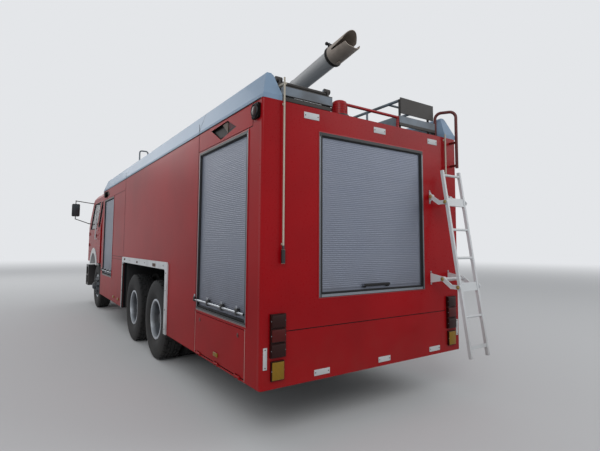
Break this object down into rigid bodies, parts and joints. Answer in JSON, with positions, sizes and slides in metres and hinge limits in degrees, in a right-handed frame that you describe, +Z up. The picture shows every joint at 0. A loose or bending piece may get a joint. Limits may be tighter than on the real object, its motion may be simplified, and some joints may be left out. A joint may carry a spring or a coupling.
{
  "type": "airport fire truck",
  "caption": "Cab-over foam and water tender in red and white with roller shutters, a roof monitor and a swing-down rear ladder.",
  "frame": {"origin": "middle of the length and width, on the ground under the tyres", "axes": "+X to the front of the cab, +Y to the left side, +Z up"},
  "size_m": [10.8974, 3.39, 3.8764],
  "materials": {
    "frame_black": "satin chassis black",
    "engine_iron": "cast engine grey",
    "axle_iron": "dark axle castings",
    "bumper_black": "satin black bumper",
    "lamp_red": "red lamp lenses",
    "lamp_clear": "clear lamp lenses",
    "locker_grey": "dark locker lining",
    "body_red": "glossy fire red",
    "cab_red": "glossy fire red",
    "deck_grey": "tread plate deck",
    "coaming_blue": "pale blue-grey coaming",
    "rack_grey": "grey roof racks",
    "beacon_red": "red beacon and rail",
    "shutter_alloy": "anodised slats",
    "frame_alloy": "anodised shutter frames",
    "trim_white": "white arches",
    "rail_maroon": "dark red rails",
    "ladder_white": "white painted tube",
    "riser_alloy": "pipe of the monitor",
    "head_grey": "monitor drive housing",
    "barrel_alloy": "smooth barrel tube",
    "deflector_grey": "dark split deflector",
    "window_glass": "tinted glass",
    "mirror_black": "black mirror shells",
    "interior_grey": "dark grey cab trim",
    "seat_fabric": "dark seat cloth",
    "rod_pale": "pale pull rods",
    "light_blue": "blue light bar",
    "tyre_rubber": "black rubber",
    "wheel_silver": "grey painted wheels"
  },
  "bodies": {
    "chassis": {"frame_rails": "frame_black", "engine": "engine_iron", "axles": "axle_iron", "front_bumper": "bumper_black", "tail_lamps": "lamp_red", "clear_lamps": "lamp_clear", "lockers": "locker_grey", "front_wall": "body_red", "side_left": "body_red", "side_right": "body_red", "rear_wall": "body_red", "roof_deck": "deck_grey", "coamings": "coaming_blue", "roof_racks": "rack_grey", "beacon_rail": "beacon_red", "shutters": "shutter_alloy", "shutter_frames": "frame_alloy", "arch_trims": "trim_white", "handrails": "rail_maroon", "pull_rods": "rod_pale", "ladder_brackets": "ladder_white", "monitor_riser": "riser_alloy"},
    "cab": {"cab_shell": "cab_red", "cab_glass": "window_glass", "cab_fenders": "trim_white", "cab_handles": "ladder_white", "cab_mirrors": "mirror_black", "cab_interior": "interior_grey", "seats": "seat_fabric", "light_bar": "light_blue"},
    "door_left": {"door_left": "cab_red", "door_glass_left": "window_glass"},
    "door_right": {"door_right": "cab_red", "door_glass_right": "window_glass"},
    "monitor_head": {"monitor_head": "head_grey"},
    "monitor_barrel": {"monitor_barrel": "barrel_alloy", "monitor_deflector": "deflector_grey"},
    "ladder_arms_upper": {"ladder_arms_upper": "ladder_white"},
    "ladder_arms_lower": {"ladder_arms_lower": "ladder_white"},
    "ladder": {"ladder": "ladder_white"},
    "flap_left": {"flap_left": "body_red"},
    "flap_right": {"flap_right": "body_red"},
    "knuckle_left": {"knuckle_left": "axle_iron"},
    "knuckle_right": {"knuckle_right": "axle_iron"},
    "tie_rod": {"tie_rod": "axle_iron"},
    "wheel_front_left": {"tyre_front_left": "tyre_rubber", "wheel_front_left": "wheel_silver"},
    "wheel_front_right": {"tyre_front_right": "tyre_rubber", "wheel_front_right": "wheel_silver"},
    "wheels_mid_left": {"tyres_mid_left": "tyre_rubber", "wheels_mid_left": "wheel_silver"},
    "wheels_mid_right": {"tyres_mid_right": "tyre_rubber", "wheels_mid_right": "wheel_silver"},
    "wheels_rear_left": {"tyres_rear_left": "tyre_rubber", "wheels_rear_left": "wheel_silver"},
    "wheels_rear_right": {"tyres_rear_right": "tyre_rubber", "wheels_rear_right": "wheel_silver"}
  },
  "joints": [
    {"name": "cab_tilt", "type": "hinge", "parent": "chassis", "child": "cab", "pos_m": [5.05875, 0, 1.11], "axis": [0, 1, 0], "range_deg": [0, 50]},
    {"name": "door_left", "type": "hinge", "parent": "cab", "child": "door_left", "pos_m": [4.82475, 1.257, 1.9], "axis": [0, 0, -1], "range_deg": [0, 70]},
    {"name": "door_right", "type": "hinge", "parent": "cab", "child": "door_right", "pos_m": [4.82475, -1.257, 1.9], "axis": [0, 0, 1], "range_deg": [0, 70]},
    {"name": "monitor_turn", "type": "hinge", "parent": "chassis", "child": "monitor_head", "pos_m": [-2.68125, 0, 3.24], "axis": [0, 0, 1], "range_deg": [-175, 175]},
    {"name": "monitor_lift", "type": "hinge", "parent": "monitor_head", "child": "monitor_barrel", "pos_m": [-2.68125, 0, 3.47], "axis": [0, 1, 0], "range_deg": [-8, 60]},
    {"name": "ladder_upper", "type": "hinge", "parent": "chassis", "child": "ladder_arms_upper", "pos_m": [-5.01625, -0.93, 2.11], "axis": [0, 1, 0], "range_deg": [0, 80]},
    {"name": "ladder_level", "type": "hinge", "parent": "ladder_arms_upper", "child": "ladder", "pos_m": [-5.1983, -0.93, 2.04012], "axis": [0, 1, 0], "range_deg": [-80, 0]},
    {"name": "ladder_lower", "type": "hinge", "parent": "chassis", "child": "ladder_arms_lower", "pos_m": [-5.14785, -0.93, 1.25001], "axis": [0, 1, 0], "range_deg": [0, 80]},
    {"name": "flap_left", "type": "hinge", "parent": "chassis", "child": "flap_left", "pos_m": [-4.13125, 1.258, 0.476], "axis": [-1, 0, 0], "range_deg": [0, 90]},
    {"name": "flap_right", "type": "hinge", "parent": "chassis", "child": "flap_right", "pos_m": [-4.13125, -1.258, 0.476], "axis": [1, 0, 0], "range_deg": [0, 90]},
    {"name": "steer_left", "type": "hinge", "parent": "chassis", "child": "knuckle_left", "pos_m": [3.89375, 0.84, 0.54], "axis": [0, 0, 1], "range_deg": [-35, 35]},
    {"name": "steer_right", "type": "hinge", "parent": "chassis", "child": "knuckle_right", "pos_m": [3.89375, -0.84, 0.54], "axis": [0, 0, 1], "range_deg": [-35, 35]},
    {"name": "tie_rod_left", "type": "hinge", "parent": "knuckle_left", "child": "tie_rod", "pos_m": [3.71375, 0.84, 0.448], "axis": [0, 0, 1], "range_deg": [-35, 35]},
    {"name": "spin_front_left", "type": "hinge", "parent": "knuckle_left", "child": "wheel_front_left", "pos_m": [3.89375, 1.015, 0.54], "axis": [0, 1, 0], "continuous": true},
    {"name": "spin_front_right", "type": "hinge", "parent": "knuckle_right", "child": "wheel_front_right", "pos_m": [3.89375, -1.015, 0.54], "axis": [0, 1, 0], "continuous": true},
    {"name": "spin_mid_left", "type": "hinge", "parent": "chassis", "child": "wheels_mid_left", "pos_m": [-0.43125, 1.0735, 0.54], "axis": [0, 1, 0], "continuous": true},
    {"name": "spin_mid_right", "type": "hinge", "parent": "chassis", "child": "wheels_mid_right", "pos_m": [-0.43125, -1.0735, 0.54], "axis": [0, 1, 0], "continuous": true},
    {"name": "spin_rear_left", "type": "hinge", "parent": "chassis", "child": "wheels_rear_left", "pos_m": [-1.78125, 1.0735, 0.54], "axis": [0, 1, 0], "continuous": true},
    {"name": "spin_rear_right", "type": "hinge", "parent": "chassis", "child": "wheels_rear_right", "pos_m": [-1.78125, -1.0735, 0.54], "axis": [0, 1, 0], "continuous": true}
  ],
  "couplings": [
    {"joint": "ladder_level", "follows": "ladder_upper", "ratio": -1},
    {"joint": "ladder_lower", "follows": "ladder_upper", "ratio": 1},
    {"joint": "steer_right", "follows": "steer_left", "ratio": 1},
    {"joint": "tie_rod_left", "follows": "steer_left", "ratio": -1}
  ]
}
